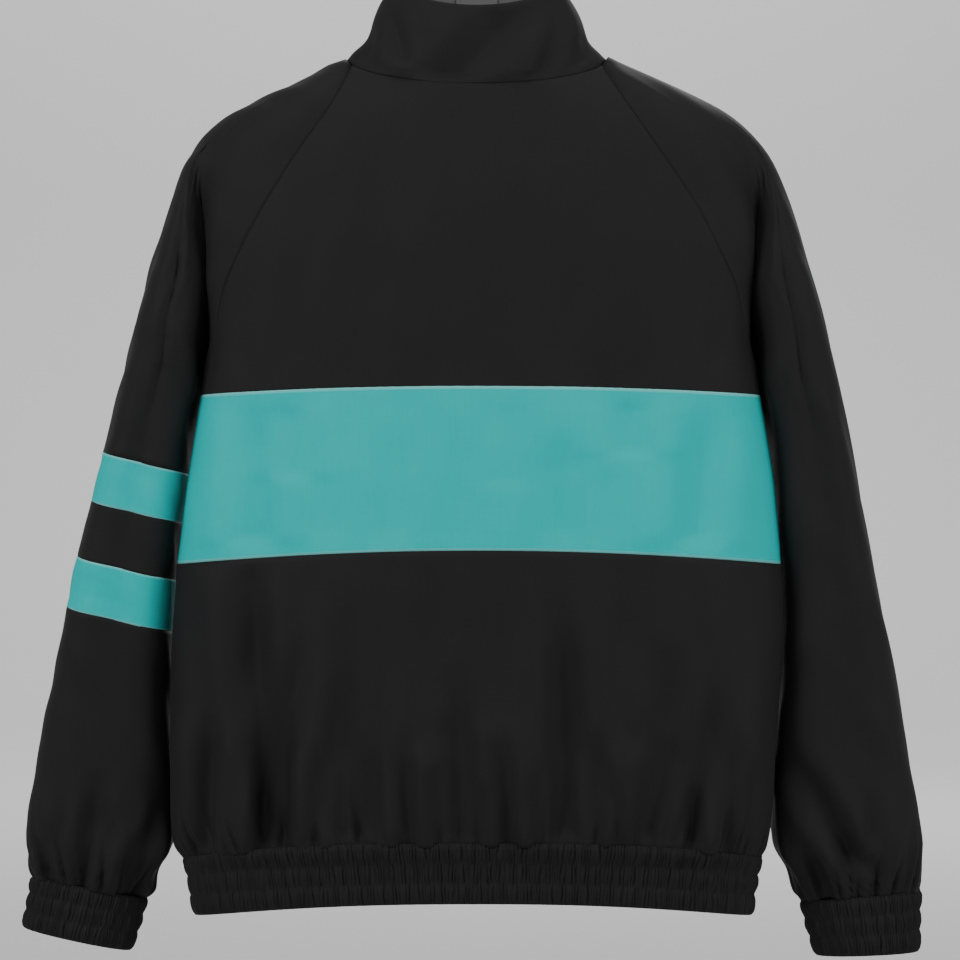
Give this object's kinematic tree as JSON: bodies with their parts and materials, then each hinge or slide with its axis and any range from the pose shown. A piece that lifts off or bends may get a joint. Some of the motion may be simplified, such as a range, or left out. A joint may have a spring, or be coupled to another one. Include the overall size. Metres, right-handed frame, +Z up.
{
  "type": "raglan windbreaker",
  "caption": "A hollow zip-front windbreaker with raglan sleeves, stand collar, contrast back band and sleeve stripes, and an elasticated hem and cuffs",
  "frame": {"origin": "the middle of the neck opening, level with the side neck points, where a neck or a hanger holds the garment up", "axes": "+Z up, -Y the side of the wearer's back, +X the wearer's right, so that azimuth 0 looks at the back"},
  "size_m": [0.7396, 0.1914, 0.8001],
  "materials": {
    "shell_cloth": "black woven polyester with a dull sheen",
    "band_cloth": "teal woven polyester with a dull sheen",
    "elastic_cloth": "black woven polyester gathered on elastic",
    "facing_cloth": "smooth grey collar facing",
    "zip_tape": "black zip tape and moulded teeth",
    "zip_metal": "black enamelled zinc"
  },
  "bodies": {
    "garment": {"back_upper": "shell_cloth", "back_band": "band_cloth", "back_lower": "shell_cloth", "front_left": "shell_cloth", "front_right": "shell_cloth", "sleeve_left_upper": "shell_cloth", "sleeve_left_stripe_1": "band_cloth", "sleeve_left_between": "shell_cloth", "sleeve_left_stripe_2": "band_cloth", "sleeve_left_lower": "shell_cloth", "sleeve_right": "shell_cloth", "cuff_left": "elastic_cloth", "cuff_right": "elastic_cloth", "hem_band": "elastic_cloth", "collar": "shell_cloth", "collar_facing": "facing_cloth", "zip_tape_left": "zip_tape", "zip_tape_right": "zip_tape", "zip_slider": "zip_metal"},
    "pull_tab": {"zip_pull": "zip_metal"}
  },
  "joints": [
    {"name": "pull_swing", "type": "hinge", "parent": "garment", "child": "pull_tab", "pos_m": [0, 0.06875, 0.05414], "axis": [1, 0, 0], "range_deg": [0, 150]}
  ]
}
